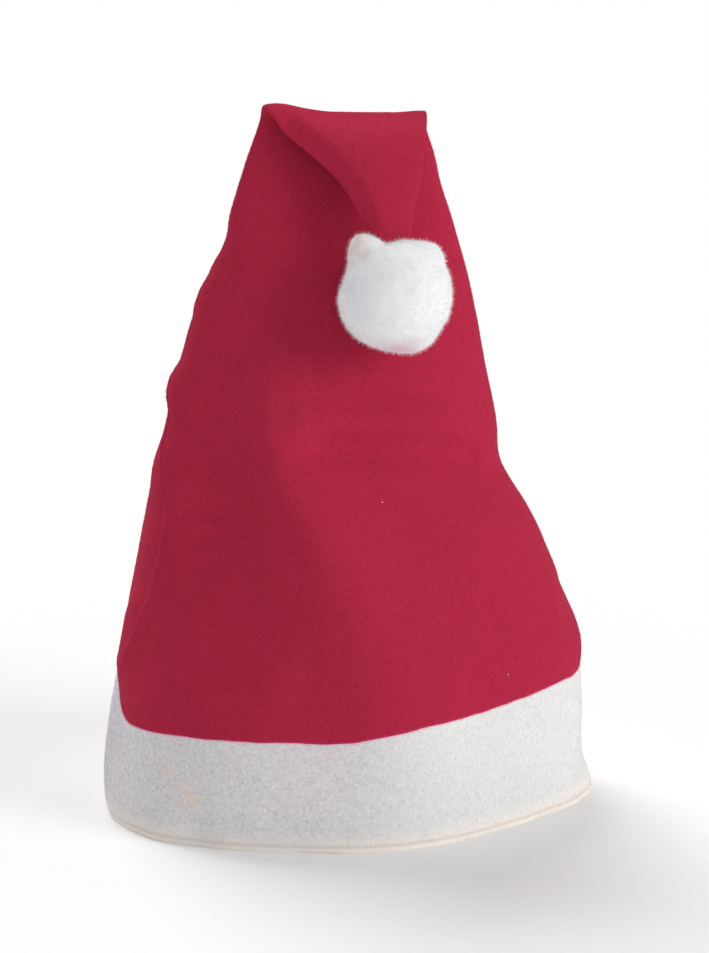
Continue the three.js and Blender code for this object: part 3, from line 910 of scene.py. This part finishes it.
def plantTufts(ground, tuft, look):
    # scatters the tuft over the ground with geometry nodes and keeps only the hairs
    tree = bpy.data.node_groups.new(ground.name + "Nodes", "GeometryNodeTree")
    tree.interface.new_socket("Geometry", in_out="INPUT", socket_type="NodeSocketGeometry")
    tree.interface.new_socket("Geometry", in_out="OUTPUT", socket_type="NodeSocketGeometry")
    start = tree.nodes.new("NodeGroupInput")
    end = tree.nodes.new("NodeGroupOutput")
    points = addNode(tree, "GeometryNodeDistributePointsOnFaces", {
        "Mesh": start.outputs[0], "Density": look["perSquareMm"] / mm**2, "Seed": look["seed"],
    })
    tilt = math.radians(look["tilt"])
    lean = addNode(tree, "FunctionNodeRandomValue", {
        0: (-tilt, -tilt, 0.0), 1: (tilt, tilt, math.tau), "Seed": look["seed"] + 1,
    }, data_type="FLOAT_VECTOR")
    leanTurn = addNode(tree, "FunctionNodeEulerToRotation", {0: lean.outputs[0]})
    turn = addNode(tree, "FunctionNodeRotateRotation", {
        0: points.outputs["Rotation"], 1: leanTurn.outputs[0],
    }, rotation_space="LOCAL")
    size = addNode(tree, "FunctionNodeRandomValue", {
        2: tuftSizes[0], 3: tuftSizes[1], "Seed": look["seed"] + 2,
    }, data_type="FLOAT")
    source = addNode(tree, "GeometryNodeObjectInfo", {"Object": tuft})
    planted = addNode(tree, "GeometryNodeInstanceOnPoints", {
        "Points": points.outputs["Points"],
        "Instance": source.outputs["Geometry"],
        "Rotation": turn.outputs[0],
        "Scale": size.outputs[1],
    })
    real = addNode(tree, "GeometryNodeRealizeInstances", {0: planted.outputs[0]})
    tree.links.new(real.outputs[0], end.inputs[0])
    applyModifier(ground, "NODES", {"node_group": tree})
    bpy.data.node_groups.remove(tree)
    bpy.data.objects.remove(tuft)


# where hairs stand
openPlaces = {
    "lookFrom": 0.05,      # mm off a face, where the look outwards starts
    "clearFor": 300,       # mm in front of it that have to be free
    "seamShown": 0.7,      # the least of seamShows for hairs along a seam
    "above": 2,            # mm over the floor
}


def openGround(pieces, groundName, neighbour=None, within=0):
    # a copy of the faces that look out into the open, for hairs to stand on;
    # with a neighbour, only of those that lie close to it
    selectOnly(*pieces)
    bpy.ops.object.duplicate()
    if len(pieces) > 1:
        bpy.ops.object.join()
    ground = bpy.context.object
    ground.name = groundName
    bpy.ops.object.parent_clear(type="CLEAR_KEEP_TRANSFORM")
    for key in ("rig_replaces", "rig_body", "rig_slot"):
        if key in ground:
            del ground[key]
    bpy.context.view_layer.update()
    hidden = []
    for face in ground.data.polygons:
        start = face.center + face.normal * openPlaces["lookFrom"] * mm
        hit = ground.ray_cast(start, face.normal, distance=openPlaces["clearFor"] * mm)[0]
        away = False
        if neighbour:
            near = neighbour.closest_point_on_mesh(face.center, distance=within * mm)[0]
            away = not near or seamShows(face.center) < openPlaces["seamShown"]
        hidden.append(hit or away or face.center.z < openPlaces["above"] * mm)
    bpy.ops.object.mode_set(mode="EDIT")
    bpy.ops.mesh.select_mode(type="FACE")
    bpy.ops.mesh.select_all(action="DESELECT")
    bpy.ops.object.mode_set(mode="OBJECT")
    ground.data.polygons.foreach_set("select", hidden)
    bpy.ops.object.mode_set(mode="EDIT")
    bpy.ops.mesh.delete(type="FACE")
    bpy.ops.mesh.select_mode(type="VERT")
    bpy.ops.object.mode_set(mode="OBJECT")
    return ground


def growFibres(name, grounds, look, slotName, material, neighbour=None):
    fibres = openGround(grounds, name, neighbour, look.get("within", 0))
    plantTufts(fibres, fibreTuft(name + "Tuft", look), look)
    finishPiece(fibres, slotName, material)


crownPair = [feltPieces["crown_front"], feltPieces["crown_back"]]
growFibres("crown_fuzz", crownPair, crownFibres, "red_felt", redFeltFinish)
growFibres("brim_fuzz", [feltPieces["brim_band"]], bandFibres, "white_felt", whiteFeltFinish)
# the seam fibres wear the lighter seam red, a painted highlight along the seams
seamRows = [
    ("side_seam_fuzz_front", "crown_front", "crown_back"),
    ("side_seam_fuzz_back", "crown_back", "crown_front"),
    ("band_seam_fuzz_front", "crown_front", "brim_band"),
    ("band_seam_fuzz_back", "crown_back", "brim_band"),
]
for name, key, neighbour in seamRows:
    growFibres(name, [feltPieces[key]], seamFibres, "red_felt", seamHighlightFinish, feltPieces[neighbour])
growFibres("pompom_plush", [pompomBall], pompomPile, "white_plush", plushFinish)
growFibres("pompom_wisps", [pompomBall], pompomWisps, "white_plush", plushFinish)
say("fibres are planted")

# two specks of white lint that cling to the front panel
lint = {
    "places": [(51.6, -66.2, 62.3), (2.6, -55.1, 131.9)],
    "lengths": (0.5, 0.7, 0.6, 0.4),
    "leans": (60, 80, 75, 40),
    "width": 0.22,
}
specks = []
for number, place in enumerate(lint["places"]):
    speck = fibreTuft(f"speck{number}", lint)
    spot, out = feltPieces["crown_front"].closest_point_on_mesh(Vector(place) * mm)[1:3]
    speck.location = spot
    speck.rotation_euler = out.to_track_quat("Z", "Y").to_euler()
    specks.append(speck)
selectOnly(*specks)
bpy.ops.object.join()
lintSpecks = bpy.context.object
lintSpecks.name = "lint_specks"
lintSpecks.data.name = "lint_specks"
finishPiece(lintSpecks, "white_plush", plushFinish)

counts = []
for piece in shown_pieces():
    piece.data.calc_loop_triangles()
    counts.append(len(piece.data.loop_triangles))
say(f"{len(counts)} pieces, {sum(counts)} triangles in all, {max(counts)} at most in one")
